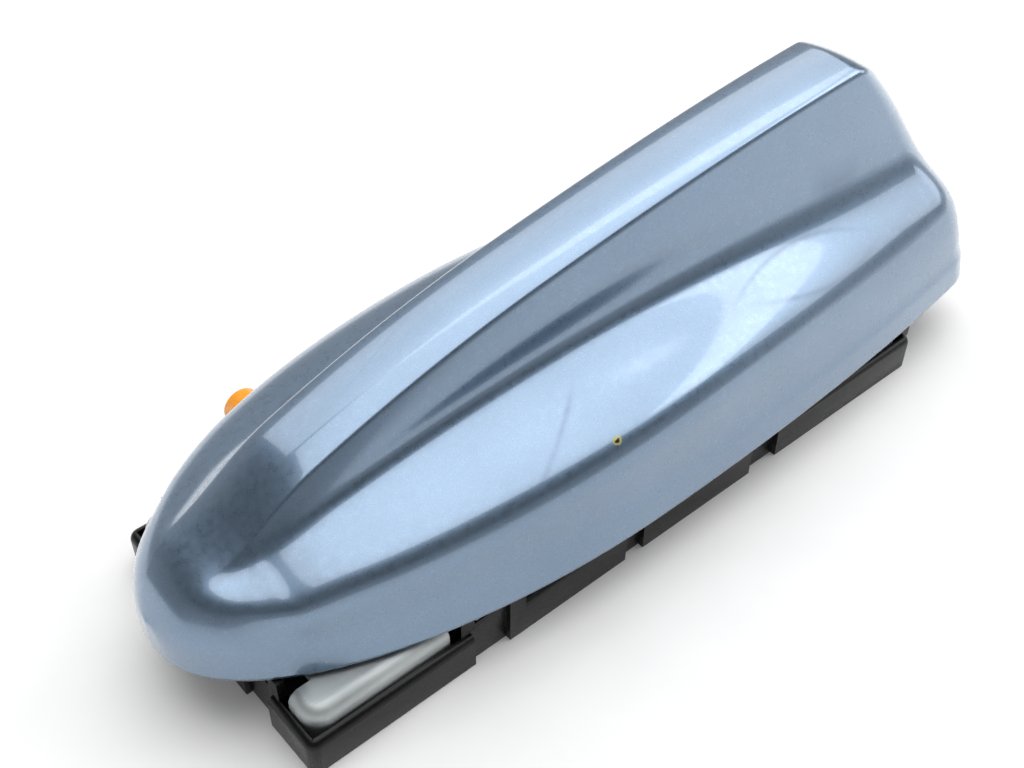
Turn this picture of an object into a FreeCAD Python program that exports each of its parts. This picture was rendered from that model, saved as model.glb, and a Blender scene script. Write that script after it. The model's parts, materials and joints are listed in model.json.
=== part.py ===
"""Roof antenna with a fin cover: cover, carrier frame, ground plate and the electronics between them.

Frame: +X points to the tail, +Y to the side of the coaxial jacks, +Z up. The origin is the centre of
the carrier frame at its underside. All sizes are millimetres and stand in the sheet "dims".
"""
import math
import os
import re

import FreeCAD
import Part
import Sketcher

V = FreeCAD.Vector

DIMENSIONS = [
    ("frame_length", 155.0, "carrier frame, nose to tail"),
    ("frame_width", 60.0, "carrier frame across"),
    ("frame_height", 7.5, "carrier frame rim above the underside"),
    ("frame_wall", 1.5, "carrier frame wall"),
    ("frame_corner", 2.0, "carrier frame corner radius"),
    ("rim_round", 1.5, "round on the top of the frame rim"),
    ("ledge_low", 2.0, "underside of the inner ledge"),
    ("ledge_top", 4.0, "top of the inner ledge"),
    ("ledge_width", 2.5, "inner ledge beyond the wall"),
    ("fit_gap", 0.2, "clearance between neighbouring pieces"),
    ("tab_front_near", -40.2, "centre of the front latch tab, near side"),
    ("tab_front_far", -64.0, "centre of the front latch tab, jack side"),
    ("tab_rear_near", 30.0, "centre of the rear latch tab, near side"),
    ("tab_rear_far", 30.0, "centre of the rear latch tab, jack side"),
    ("nose_tab_y", 13.5, "nose latch tabs from the middle"),
    ("tab_width", 7.8, "latch tab along the side"),
    ("tab_depth", 1.2, "recess in front of a latch tab"),
    ("tab_thick", 1.5, "latch tab wall"),
    ("tab_top", 12.1, "latch tab top"),
    ("block_width", 3.6, "guide block beside a latch tab"),
    ("slit_low", 9.2, "latch slit, lower edge"),
    ("slit_high", 11.0, "latch slit, upper edge"),
    ("slit_width", 6.0, "latch slit along the side"),
    ("gap_x", -5.9, "centre of the notch between the side bars"),
    ("gap_width", 4.6, "notch between the side bars"),
    ("flange_reach", 3.0, "rear flange beyond the frame"),
    ("flange_low", 4.5, "rear flange underside"),
    ("plate_top", 11.2, "ground plate top"),
    ("plate_gauge", 0.9, "ground plate sheet"),
    ("plate_corner", 4.0, "ground plate corner radius"),
    ("plate_round", 2.4, "ground plate drawn edge"),
    ("plate_gap", 0.3, "ground plate to frame wall"),
    ("notch_depth", 4.5, "depth of that cut-out"),
    ("lid_gap", 1.4, "bottom lid to frame wall"),
    ("lid_gauge", 1.4, "bottom lid sheet"),
    ("lid_low", 0.4, "bottom lid underside"),
    ("boss_radius", 2.6, "bottom lid board boss"),
    ("boss_x", 60.0, "board bosses from the middle, lengthwise"),
    ("boss_y", 17.0, "board bosses from the middle, across"),
    ("bush_spacing", 90.0, "fixing bushes, hole to hole"),
    ("bush_radius", 4.0, "fixing bush outside"),
    ("bush_bore", 2.1, "fixing bush thread core"),
    ("bush_length", 4.0, "fixing bush length"),
    ("board_low", 4.3, "main board underside"),
    ("board_thick", 1.6, "main board"),
    ("board_length", 132.0, "main board, nose to tail"),
    ("board_width", 42.0, "main board across"),
    ("screw_radius", 1.25, "screw shank"),
    ("screw_head", 2.2, "screw head radius"),
    ("screw_head_high", 1.1, "screw head"),
    ("can_length", 34.0, "shield can on the main board, lengthwise"),
    ("can_width", 18.0, "shield can across"),
    ("can_height", 1.7, "shield can height"),
    ("can_y", -10.0, "shield can middle, across"),
    ("chip_size", 6.0, "amplifier chip edge"),
    ("chip_height", 0.9, "amplifier chip height"),
    ("jack_x", -42.0, "amber jack axis"),
    ("jack_pitch", 14.0, "jack to jack"),
    ("jack_z", 4.6, "jack axis height"),
    ("jack_body", 8.4, "jack housing across"),
    ("jack_step", 38.0, "jack housing end, barrel start"),
    ("jack_end", 48.3, "jack barrel mouth"),
    ("jack_radius", 4.0, "jack barrel outside"),
    ("jack_bore", 3.0, "jack barrel inside"),
    ("jack_floor", 33.0, "jack bore floor"),
    ("key_offset", 1.4, "key groove from the jack's middle"),
    ("key_width", 0.9, "key groove"),
    ("key_depth", 0.7, "key groove depth"),
    ("sleeve_radius", 1.9, "jack outer contact outside"),
    ("sleeve_bore", 1.5, "jack outer contact inside"),
    ("sleeve_end", 46.0, "jack outer contact tip"),
    ("pin_radius", 0.45, "jack centre pin"),
    ("pin_end", 45.0, "jack centre pin tip"),
    ("cover_low", 12.5, "cover bottom edge"),
    ("cover_nose", -87.5, "cover nose tip"),
    ("cover_widest", -3.5, "where the cover is widest"),
    ("cover_half", 34.1, "cover half width there"),
    ("cover_rear_axis", 170.0, "rear half-axis of the plan outline"),
    ("cover_tail", 77.0, "ridge end at the tail"),
    ("cover_top", 63.6, "ridge crease at the tail"),
    ("cover_rake", 25.0, "tail foot behind the ridge end"),
    ("cover_wall", 2.5, "cover moulding wall"),
    ("skirt_height", 4.8, "skirt below its crease"),
    ("skirt_lean", 1.0, "skirt lean"),
    ("valley_half", 13.0, "valley beside the ridge, half width"),
    ("valley_rise", 0.88, "valley height over the skirt crease, share of the flank"),
    ("valley_sag", 0.0087, "fall of that share per flank height"),
    ("wall_hollow", 0.9, "hollow of the wall below the ridge"),
    ("ridge_half", 7.2, "ridge top half width at the brow"),
    ("ridge_flare", 0.008, "ridge top widening per length"),
    ("ridge_crown", 1.3, "ridge top crown above its creases"),
    ("shoulder_out", 0.75, "fender shoulder, share of the way out to the crease"),
    ("shoulder_up", 0.77, "fender shoulder, share of the way up to the valley"),
    ("shoulder_tail", 0.68, "the same share at the tail"),
    ("shoulder_in", 0.2, "share by which the fender shoulder draws in at the tail"),
    ("fender_in", 0.05, "fender flank, share of the way in from the crease to the valley"),
    ("fender_up", 0.48, "fender flank, share of the way up to the valley"),
    ("valley_tail", 14.5, "valley half width at the tail"),
    ("plan_power", 0.45, "fullness of the nose outline, an ellipse at one half"),
    ("dome_start", -69.0, "where the flanks begin to melt into the nose"),
    ("dome_end", -82.0, "where the nose is all dome"),
    ("dome_power", 0.77, "squareness of the nose dome, a half ellipse at one"),
    ("tail_round", 6.0, "round of the tail edges"),
    ("snout_x", -84.0, "snout station"),
    ("snout_z", 22.3, "ridge crease at the snout"),
    ("brow_x", -57.5, "brow station"),
    ("brow_z", 39.2, "ridge crease at the brow"),
    ("lip_z", 16.5, "top of the nose lip"),
    ("cheek_x", -75.5, "cheek station"),
    ("cheek_z", 28.2, "ridge crease at the cheek"),
    ("mid_x", -7.5, "middle station"),
    ("mid_z", 52.7, "ridge crease at the middle"),
    ("seal_inset", 0.7, "seal groove from the cover edge"),
    ("seal_width", 1.1, "seal groove"),
    ("seal_depth", 1.2, "seal groove depth"),
    ("seal_lip", 0.4, "seal below the cover edge"),
    ("leg_width", 5.0, "cover leg along the side"),
    ("leg_thick", 2.0, "cover leg"),
    ("leg_low", 8.0, "cover leg foot"),
    ("patch_x", -36.0, "patch antenna middle"),
    ("patch_size", 25.0, "patch ceramic edge"),
    ("patch_thick", 4.0, "patch ceramic"),
    ("patch_metal", 21.0, "patch electrode edge"),
    ("foil_thick", 0.3, "foils and electrodes"),
    ("patch_base", 3.0, "patch amplifier can"),
    ("mast_x", 30.0, "radiator middle"),
    ("mast_length", 72.0, "radiator carrier length"),
    ("mast_low", 11.2, "radiator carrier foot"),
    ("mast_top", 46.0, "radiator carrier top"),
    ("mast_thick", 2.4, "radiator carrier web"),
    ("mast_foot", 18.0, "radiator carrier foot across"),
    ("mast_foot_high", 2.4, "radiator carrier foot"),
]

doc = FreeCAD.newDocument("roof_antenna")
sheet = doc.addObject("Spreadsheet::Sheet", "dims")
for row, (alias, value, note) in enumerate(DIMENSIONS, 1):
    sheet.set(f"A{row}", note)
    sheet.set(f"B{row}", str(value))
    sheet.setAlias(f"B{row}", alias)
doc.recompute()
ALIASES = {alias for alias, _, _ in DIMENSIONS}


def linked(text):
    """Write the sheet's name before each alias in an expression."""
    return re.sub(r"[a-z]\w*", lambda m: "dims." + m.group() if m.group() in ALIASES else m.group(), text)


def mm(text):
    """Give the present value of an expression of sheet aliases."""
    return float(sheet.evalExpression(linked(text)))


def bind(thing, prop, text):
    """Tie a property to an expression of sheet aliases."""
    thing.setExpression(prop, linked(text))


def box(name, x, y, z):
    """Add a box from three (low, high) pairs of expressions."""
    solid = doc.addObject("Part::Box", name)
    for (low, high), size, axis in zip((x, y, z), ("Length", "Width", "Height"), "xyz"):
        bind(solid, size, f"({high}) - ({low})")
        bind(solid, f"Placement.Base.{axis}", low)
    return solid


TURN = {"x": FreeCAD.Rotation(V(0, 1, 0), 90), "y": FreeCAD.Rotation(V(1, 0, 0), -90), "z": FreeCAD.Rotation()}


def rod(name, radius, length, at, axis="z"):
    """Add a cylinder that starts at a point and runs along +X, +Y or +Z."""
    solid = doc.addObject("Part::Cylinder", name)
    solid.Placement.Rotation = TURN[axis]
    bind(solid, "Radius", radius)
    bind(solid, "Height", length)
    for value, letter in zip(at, "xyz"):
        bind(solid, f"Placement.Base.{letter}", value)
    return solid


def fuse(name, solids):
    """Join solids into one object."""
    joined = doc.addObject("Part::MultiFuse", name)
    joined.Shapes = solids
    joined.Refine = True
    return joined


def cut(name, base, tools):
    """Take tools away from a solid."""
    tool = tools[0] if len(tools) == 1 else fuse(name + "_tools", tools)
    piece = doc.addObject("Part::Cut", name)
    piece.Base = base
    piece.Tool = tool
    piece.Refine = True
    return piece


def group(name, solids):
    """Hold like pieces together as separate solids."""
    held = doc.addObject("Part::Compound", name)
    held.Links = solids
    return held


def body(name):
    """Add an empty part-design body."""
    return doc.addObject("PartDesign::Body", name)


def rectangle(owner, name, x, y, level):
    """Draw a rectangle on the body's XY plane, lifted to a level, with bound corner distances."""
    sketch = owner.newObject("Sketcher::SketchObject", name)
    sketch.AttachmentSupport = (owner.Origin.OriginFeatures[3], [""])
    sketch.MapMode = "FlatFace"
    bind(sketch, "AttachmentOffset.Base.z", level)
    low = V(mm(x[0]), mm(y[0]), 0)
    high = V(mm(x[1]), mm(y[1]), 0)
    corners = [low, V(high.x, low.y, 0), high, V(low.x, high.y, 0)]
    for i in range(4):
        sketch.addGeometry(Part.LineSegment(corners[i], corners[(i + 1) % 4]))
    for i in range(4):
        sketch.addConstraint(Sketcher.Constraint("Coincident", i, 2, (i + 1) % 4, 1))
        sketch.addConstraint(Sketcher.Constraint("Vertical" if i % 2 else "Horizontal", i))
    for kind, line, point, text in (("DistanceX", 0, 1, x[0]), ("DistanceY", 0, 1, y[0]),
                                    ("DistanceX", 2, 1, x[1]), ("DistanceY", 2, 1, y[1])):
        index = sketch.addConstraint(Sketcher.Constraint(kind, -1, 1, line, point, mm(text)))
        bind(sketch, f"Constraints[{index}]", text)
    return sketch


def pad(owner, name, x, y, z):
    """Add material over a rectangle between two levels."""
    feature = owner.newObject("PartDesign::Pad", name)
    feature.Profile = rectangle(owner, name + "_sketch", x, y, z[0])
    bind(feature, "Length", f"({z[1]}) - ({z[0]})")
    doc.recompute()
    return feature


def pocket(owner, name, x, y, z):
    """Remove material over a rectangle between two levels."""
    feature = owner.newObject("PartDesign::Pocket", name)
    feature.Profile = rectangle(owner, name + "_sketch", x, y, z[1])
    bind(feature, "Length", f"({z[1]}) - ({z[0]})")
    doc.recompute()
    return feature


def around(text, width):
    """Give the (low, high) pair of a stretch about its middle."""
    return (f"({text}) - ({width}) / 2", f"({text}) + ({width}) / 2")


def edge_names(feature, wanted):
    """Name the edges of a feature that a test on their end points accepts."""
    names = []
    for number, edge in enumerate(feature.Shape.Edges, 1):
        if len(edge.Vertexes) == 2 and wanted(edge.Vertexes[0].Point, edge.Vertexes[1].Point):
            names.append(f"Edge{number}")
    return names


def upright(a, b):
    """Tell an upright edge."""
    return abs(a.x - b.x) + abs(a.y - b.y) < 1e-6


def rounded(owner, name, base, radius, wanted):
    """Round the edges of a feature that a test accepts."""
    feature = owner.newObject("PartDesign::Fillet", name)
    feature.Base = (base, edge_names(base, wanted))
    bind(feature, "Radius", radius)
    doc.recompute()
    return feature


HALF_X = "frame_length / 2"
HALF_Y = "frame_width / 2"
SIDES = {"near": -1, "far": 1}


def span(side, inner, outer):
    """Give the across pair between two distances from the middle plane, on one side."""
    return (f"-({outer})", f"-({inner})") if side < 0 else (inner, outer)


def build_frame():
    """Mould the carrier frame: rim, ledge, latch tabs, guide blocks, notches and jack windows."""
    frame = body("base_frame")
    block = pad(frame, "rim_block", (f"-{HALF_X}", HALF_X), (f"-{HALF_Y}", HALF_Y), ("0", "frame_height"))
    corners = rounded(frame, "rim_corners", block, "frame_corner", upright)
    top = mm("frame_height")
    rounded(frame, "rim_edge", corners, "rim_round", lambda a, b: min(a.z, b.z) > top - 1e-6)
    for name, inset, levels in (("upper_well", "frame_wall", ("ledge_top", "frame_height")),
                                ("throat", "frame_wall + ledge_width", ("0", "frame_height")),
                                ("lid_seat", "frame_wall", ("0", "ledge_low"))):
        pocket(frame, name, around("0", f"frame_length - 2 * ({inset})"), around("0", f"frame_width - 2 * ({inset})"),
               levels)
    pad(frame, "rear_flange", (f"{HALF_X} - frame_wall", f"{HALF_X} + flange_reach"),
        (f"-{HALF_Y} + 3", f"{HALF_Y} - 3"), ("flange_low", "frame_height"))
    for word, side in SIDES.items():
        pocket(frame, f"bar_notch_{word}", around("gap_x", "gap_width"),
               span(side, f"{HALF_Y} - tab_depth", f"{HALF_Y} + 1"), ("0", "frame_height"))
        for end in ("front", "rear"):
            mark = f"{end}_{word}"
            middle = f"tab_{mark}"
            pocket(frame, f"tab_recess_{mark}", around(middle, "tab_width"),
                   span(side, f"{HALF_Y} - tab_depth", f"{HALF_Y} + 1"), ("0", "frame_height"))
            pad(frame, f"latch_{mark}", around(middle, "tab_width + 4"),
                span(side, f"{HALF_Y} - tab_depth - tab_thick", f"{HALF_Y} - tab_depth"), ("0", "tab_top"))
            pad(frame, f"guide_{mark}", (f"{middle} + tab_width / 2", f"{middle} + tab_width / 2 + block_width"),
                span(side, f"{HALF_Y} - tab_depth - tab_thick", HALF_Y), ("0", "tab_top"))
            pocket(frame, f"slit_{mark}", around(middle, "slit_width"),
                   span(side, f"{HALF_Y} - tab_depth - tab_thick - 1", f"{HALF_Y} + 1"), ("slit_low", "slit_high"))
    for word, side in SIDES.items():
        middle = f"{side} * nose_tab_y"
        pocket(frame, f"nose_recess_{word}", (f"-{HALF_X} - 1", f"-{HALF_X} + tab_depth"), around(middle, "tab_width"),
               ("0", "frame_height"))
        pad(frame, f"nose_latch_{word}", (f"-{HALF_X} + tab_depth", f"-{HALF_X} + tab_depth + tab_thick"),
            around(middle, "tab_width + 4"), ("0", "tab_top"))
        pad(frame, f"nose_guide_{word}", (f"-{HALF_X}", f"-{HALF_X} + tab_depth + tab_thick"),
            span(side, "nose_tab_y - tab_width / 2 - block_width", "nose_tab_y - tab_width / 2"), ("0", "tab_top"))
        pocket(frame, f"nose_slit_{word}", (f"-{HALF_X} - 1", f"-{HALF_X} + tab_depth + tab_thick + 1"),
               around(middle, "slit_width"), ("slit_low", "slit_high"))
    for number in range(3):
        pocket(frame, f"jack_window_{number + 1}",
               around(f"jack_x + {number} * jack_pitch", "jack_body + 2 * fit_gap"),
               (f"{HALF_Y} - frame_wall - 1", f"{HALF_Y} + 1"), ("jack_z - jack_body / 2 - fit_gap", "frame_height"))
    return frame


def build_plate():
    """Draw the ground plate: pan with rounded corners, a drawn edge, tab cut-outs and pin holes."""
    plate = body("ground_plate")
    reach_x = f"{HALF_X} - frame_wall - plate_gap"
    reach_y = f"{HALF_Y} - frame_wall - plate_gap"
    blank = pad(plate, "blank", (f"-({reach_x})", reach_x), (f"-({reach_y})", reach_y), ("ledge_top", "plate_top"))
    corners = rounded(plate, "pan_corners", blank, "plate_corner", upright)
    top = mm("plate_top")
    edge = rounded(plate, "drawn_edge", corners, "plate_round", lambda a, b: min(a.z, b.z) > top - 1e-6)
    floor = min(range(len(edge.Shape.Faces)), key=lambda i: edge.Shape.Faces[i].CenterOfMass.z)
    pan = plate.newObject("PartDesign::Thickness", "pan")
    pan.Base = (edge, [f"Face{floor + 1}"])
    bind(pan, "Value", "plate_gauge")
    pan.Reversed = True
    doc.recompute()
    for word, side in SIDES.items():
        for end in ("front", "rear"):
            pocket(plate, f"cutout_{end}_{word}", around(f"tab_{end}_{word}", "tab_width + 2 * block_width + 4 * fit_gap"),
                   span(side, f"{reach_y} - notch_depth", f"{reach_y} + 1"), ("0", "plate_top"))
        pocket(plate, f"cutout_nose_{word}", (f"-({reach_x}) - 1", f"-({reach_x}) + notch_depth"),
               around(f"{side} * nose_tab_y", "tab_width + 2 * block_width + 4 * fit_gap"), ("0", "plate_top"))
    for number in range(3):
        pocket(plate, f"pin_gate_{number + 1}", around(f"jack_x + {number} * jack_pitch", "3"),
               (f"{reach_y} - plate_gauge - 1", f"{reach_y} + 1"), ("0", "jack_z + 1.5"))
    for name, middle in (("patch_gate", "patch_x"), ("mast_gate", "mast_x")):
        pocket(plate, name, around(middle, "2"), around("0", "2"), ("0", "plate_top"))
    return plate


def build_lid():
    """Form the bottom lid with its board bosses and the seats of the fixing bushes."""
    inset = "2 * (frame_wall + lid_gap)"
    lid = body("lid_sheet")
    pad(lid, "sheet", around("0", f"frame_length - {inset}"), around("0", f"frame_width - {inset}"),
        ("lid_low", "lid_low + lid_gauge"))
    bosses = [rod(f"boss_{i}{j}", "boss_radius", "board_low - lid_low", (f"{i} * boss_x", f"{j} * boss_y", "lid_low"))
              for i in (-1, 1) for j in (-1, 1)]
    holes = [rod(f"boss_core_{i}{j}", "screw_radius", "board_low", (f"{i} * boss_x", f"{j} * boss_y", "lid_low + 0.6"))
             for i in (-1, 1) for j in (-1, 1)]
    seats = [rod(f"bush_seat_{i}", "bush_radius", "bush_length + 2", (f"{i} * bush_spacing / 2", "0", "-1"))
             for i in (-1, 1)]
    return cut("bottom_lid_piece", fuse("lid_blank", [lid] + bosses), holes + seats)


def build_board():
    """Cut the main board and drill it for its screws, feeds and the fixing bushes."""
    board = body("board_blank")
    pad(board, "laminate", around("0", "board_length"), around("0", "board_width"),
        ("board_low", "board_low + board_thick"))
    drills = [rod(f"board_drill_{i}{j}", "screw_radius + 0.1", "20", (f"{i} * boss_x", f"{j} * boss_y", "0"))
              for i in (-1, 1) for j in (-1, 1)]
    drills += [rod(f"feed_drill_{name}", "0.6", "20", (name, "0", "0")) for name in ("patch_x", "mast_x")]
    return cut("board_piece", board, drills)


def screw(name, at, shank_low, head_low):
    """Turn a pan-head screw that stands upright."""
    shank = rod(name + "_shank", "screw_radius - 0.05", f"({head_low}) - ({shank_low})", (*at, shank_low))
    head = rod(name + "_head", "screw_head", "screw_head_high", (*at, head_low))
    slot = box(name + "_slot", around(at[0], "2.6"), around(at[1], "0.7"),
               (f"({head_low}) + screw_head_high / 2", f"({head_low}) + screw_head_high + 1"))
    return cut(name, fuse(name + "_blank", [shank, head]), [slot])


def build_screws():
    """Set the four screws that hold the board on its bosses."""
    return group("board_screws", [screw(f"board_screw_{i}{j}".replace("-", "m"), (f"{i} * boss_x", f"{j} * boss_y"),
                                        "lid_low + 0.8", "board_low + board_thick")
                                  for i in (-1, 1) for j in (-1, 1)])


def build_bushes():
    """Turn the two threaded bushes that the fixing bolts enter from below."""
    bushes = []
    for i in (-1, 1):
        at = (f"{i} * bush_spacing / 2", "0")
        outside = rod(f"bush_outside_{i}", "bush_radius - 0.05", "bush_length", (*at, "0"))
        core = rod(f"bush_core_{i}", "bush_bore", "bush_length + 2", (*at, "-1"))
        bushes.append(cut(f"bush_{i}".replace("-", "m"), outside, [core]))
    return group("fixing_bushes", bushes)


def jack_axis(number):
    """Give the lengthwise place of a jack."""
    return f"jack_x + {number} * jack_pitch"


def build_jack(number):
    """Mould one jack housing: square body, round barrel with key grooves, and the bore behind its mouth."""
    x = jack_axis(number)
    back = f"{HALF_Y} - frame_wall + fit_gap"
    block = box(f"jack_block_{number}", around(x, "jack_body"), (back, "jack_step"), around("jack_z", "jack_body"))
    barrel = rod(f"jack_barrel_{number}", "jack_radius", "jack_end - jack_step + 1", (x, "jack_step - 1", "jack_z"), "y")
    keys = [box(f"jack_key_{number}_{i}", around(f"{x} + {i} * key_offset", "key_width"), ("jack_step", "jack_end + 1"),
                ("jack_z - jack_radius - 1", "jack_z - jack_radius + key_depth")) for i in (-1, 1)]
    bore = rod(f"jack_bore_{number}", "jack_bore", "jack_end - jack_floor + 1", (x, "jack_floor", "jack_z"), "y")
    throat = rod(f"jack_throat_{number}", "sleeve_radius + 0.05", "20", (x, f"{HALF_Y} - 10", "jack_z"), "y")
    return cut(f"jack_piece_{number}", fuse(f"jack_blank_{number}", [block, barrel]), [bore, throat] + keys)


def build_sleeves():
    """Turn the outer contacts of the jacks."""
    tubes = []
    for number in range(3):
        at = (jack_axis(number), f"{HALF_Y} - 1", "jack_z")
        tube = rod(f"sleeve_outside_{number}", "sleeve_radius", f"sleeve_end - {HALF_Y} + 1", at, "y")
        core = rod(f"sleeve_core_{number}", "sleeve_bore", "60", (at[0], "0", "jack_z"), "y")
        tubes.append(cut(f"sleeve_{number}", tube, [core]))
    return group("jack_sleeves", tubes)


def build_insulators():
    """Turn the insulating plugs between pin and outer contact."""
    plugs = []
    for number in range(3):
        at = (jack_axis(number), f"{HALF_Y} - 1", "jack_z")
        plug = rod(f"plug_outside_{number}", "sleeve_bore - 0.05", "6", at, "y")
        core = rod(f"plug_core_{number}", "pin_radius + 0.05", "60", (at[0], "0", "jack_z"), "y")
        plugs.append(cut(f"plug_{number}", plug, [core]))
    return group("jack_insulators", plugs)


def build_pins():
    """Turn the centre pins, which end at the board's edge."""
    return group("jack_pins", [rod(f"pin_{number}", "pin_radius", "pin_end - board_width / 2 - 0.1",
                                   (jack_axis(number), "board_width / 2 + 0.1", "jack_z"), "y")
                               for number in range(3)])


def plan_half(x, inset=0.0):
    """Half width of the cover's edge: a full nose curve and a long rear ellipse that meet where it is widest."""
    middle = mm("cover_widest")
    front = x < middle
    axis = middle - mm("cover_nose") - inset if front else mm("cover_rear_axis")
    share = (x - middle) / axis
    return (mm("cover_half") - inset) * max(0.0, 1.0 - share * share) ** (mm("plan_power") if front else 0.5)


def ridge_height(x):
    """Height of the ridge crease: a smooth cubic through the stations from nose to tail."""
    stations = [(mm("cover_nose"), mm("lip_z")), (mm("snout_x"), mm("snout_z")), (mm("cheek_x"), mm("cheek_z")),
                (mm("brow_x"), mm("brow_z")), (mm("mid_x"), mm("mid_z")), (mm("cover_tail"), mm("cover_top"))]
    steps = [(b[1] - a[1]) / (b[0] - a[0]) for a, b in zip(stations, stations[1:])]
    slopes = [steps[0]] + [2 * p * q / (p + q) for p, q in zip(steps, steps[1:])] + [steps[-1] / 2]
    x = min(max(x, stations[0][0]), stations[-1][0])
    i = max(k for k in range(len(steps)) if x >= stations[k][0])
    (x0, z0), (x1, z1) = stations[i], stations[i + 1]
    run = x1 - x0
    t = (x - x0) / run
    return (z0 * (1 + 2 * t) * (1 - t) ** 2 + run * slopes[i] * t * (1 - t) ** 2
            + z1 * t * t * (3 - 2 * t) + run * slopes[i + 1] * t * t * (t - 1))


def ramp(x, start, end):
    """Smooth step from nought at the start to one at the end."""
    share = min(1.0, max(0.0, (x - start) / (end - start)))
    return share * share * (3 - 2 * share)


DOME_TURNS = (0.35, 0.6, 0.85, 1.05, 1.2, 1.32)


def flank(x, wall):
    """Give the foot, the flank knots from crease to ridge, and the crown, as (half width, height) pairs."""
    low = mm("cover_low")
    top = ridge_height(x) - 1.25 * wall
    foot = plan_half(x, wall)
    crease_z = min(low + mm("skirt_height"), low + 0.6 * (top - low))
    crease = max(foot - mm("skirt_lean"), 0.75 * foot)
    ridge = min(mm("ridge_half") + mm("ridge_flare") * (x - mm("brow_x")) - 0.8 * wall, 0.5 * foot)
    rise = top - crease_z
    valley_z = crease_z + rise * (mm("valley_rise") - mm("valley_sag") * rise)
    to_tail = ramp(x, mm("mid_x"), mm("cover_tail"))
    valley = mm("valley_half") + to_tail * mm("valley_tail - valley_half") - 0.4 * wall
    valley = min(valley, ridge + 0.45 * (crease - ridge))
    up = mm("shoulder_up") + to_tail * mm("shoulder_tail - shoulder_up")
    draw = to_tail * mm("shoulder_in") * (crease - valley)
    shoulder = (valley + mm("shoulder_out") * (crease - valley) - draw, crease_z + up * (valley_z - crease_z))
    fender = (crease - mm("fender_in") * (crease - valley) - draw / 2,
              crease_z + mm("fender_up") * up * (valley_z - crease_z))
    middle = ((valley + ridge) / 2 - 0.8 * mm("wall_hollow"), (valley_z + top) / 2 - 0.3 * mm("wall_hollow"))
    knots = [(crease, crease_z), fender, shoulder, (valley, valley_z), middle, (ridge, top)]
    share = ramp(x, mm("dome_start"), mm("dome_end"))
    power = mm("dome_power")
    crown = top + mm("ridge_crown") * (1 + share)
    dome = [(foot * math.cos(turn) ** power, low + (crown - low) * math.sin(turn) ** power) for turn in DOME_TURNS]
    knots = [(a + share * (c - a), b + share * (d - b)) for (a, b), (c, d) in zip(knots, dome)]
    return foot, knots, crown


def section(x, wall, low):
    """Close one upright cross-section of the cover, moved in by a wall, down to a level."""
    foot, knots, crown = flank(x, wall)
    near = [V(x, -y, z) for y, z in knots]
    far = [V(x, y, z) for y, z in reversed(knots)]
    edges = [Part.makeLine(V(x, -foot, low), near[0])]
    for points in (near, far):
        curve = Part.BSplineCurve()
        curve.interpolate(Points=points, Parameters=list(range(len(points))))
        edges.append(curve.toShape())
    edges.insert(2, Part.Arc(near[-1], V(x, 0, crown), far[0]).toShape())
    edges.append(Part.makeLine(far[-1], V(x, foot, low)))
    edges.append(Part.makeLine(V(x, foot, low), V(x, -foot, low)))
    return Part.Wire(edges)


STEPS = (0.15, 1.2, 3.5, 7.0, 12.0, 18.0, 26.0, 38.0, 54.0, 75.0, 100.0, 125.0, 150.0, 175.0, 192.0)


def tail_tool(wall):
    """Extrude the space behind the curved tail face, which is moved in by a wall."""
    low, high = mm("cover_low"), mm("cover_top")
    behind = mm("cover_tail + cover_rake") + 60
    points = [V(mm("cover_tail") - wall + mm("cover_rake") * (1 - s * s), -60, low + s * (high - low))
              for s in (-0.2, 0.0, 0.2, 0.4, 0.6, 0.8, 1.0, 1.2)]
    curve = Part.BSplineCurve()
    curve.interpolate(points)
    corners = [points[-1], V(behind, -60, points[-1].z), V(behind, -60, points[0].z), points[0]]
    sides = [Part.makeLine(a, b) for a, b in zip(corners, corners[1:])]
    return Part.Face(Part.Wire([curve.toShape()] + sides)).extrude(V(0, 120, 0))


def skin(wall, low):
    """Loft the cover's sections from nose to tail, moved in by a wall, end it at the tail face and round its edges."""
    start = mm("cover_nose") + wall
    loft = Part.makeLoft([section(start + step, wall, low) for step in STEPS], True, False)
    ended = loft.cut(tail_tool(wall)).Solids[0]
    brink = mm("cover_tail") - wall - 1.0
    edges = [edge for edge in ended.Edges if min(v.Point.x for v in edge.Vertexes) > brink
             and max(v.Point.z for v in edge.Vertexes) > low + 1e-3]
    return ended.makeFillet(mm("tail_round") - wall, edges)


def rim_ring(inset, width, low, high):
    """Raise a ring that follows the cover's edge, set in from it."""
    def prism(depth):
        middle = mm("cover_widest")
        nose = mm("cover_nose") + depth
        tail = mm("cover_tail + cover_rake - seal_inset / 2") - depth
        share = [0.0, 0.004, 0.02, 0.06, 0.14, 0.3, 0.55, 0.8, 1.0]
        front = [nose + s * (middle - nose) for s in share]
        rear = [middle + s * (tail - middle) for s in (0.25, 0.5, 0.75, 1.0)]
        near = [V(x, -plan_half(x, depth), low) for x in front + rear]
        far = [V(p.x, -p.y, low) for p in reversed(near)]
        curve = Part.BSplineCurve()
        curve.interpolate(far + near[1:])
        solid = Part.Face(Part.Wire([curve.toShape(), Part.makeLine(near[-1], far[0])])).extrude(V(0, 0, high - low))
        corners = [edge for edge in solid.Edges if abs(edge.Length - (high - low)) < 1e-6
                   and upright(edge.Vertexes[0].Point, edge.Vertexes[-1].Point)]
        return solid.makeFillet(mm("tail_round") + 1.5 - depth / 2, corners)
    return prism(inset).cut(prism(inset + width))


LEGS = (("tab_front_near", "near"), ("tab_rear_near", "near"), ("tab_rear_far", "far"),
        ("-nose_tab_y", "nose"), ("nose_tab_y", "nose"))


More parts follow.
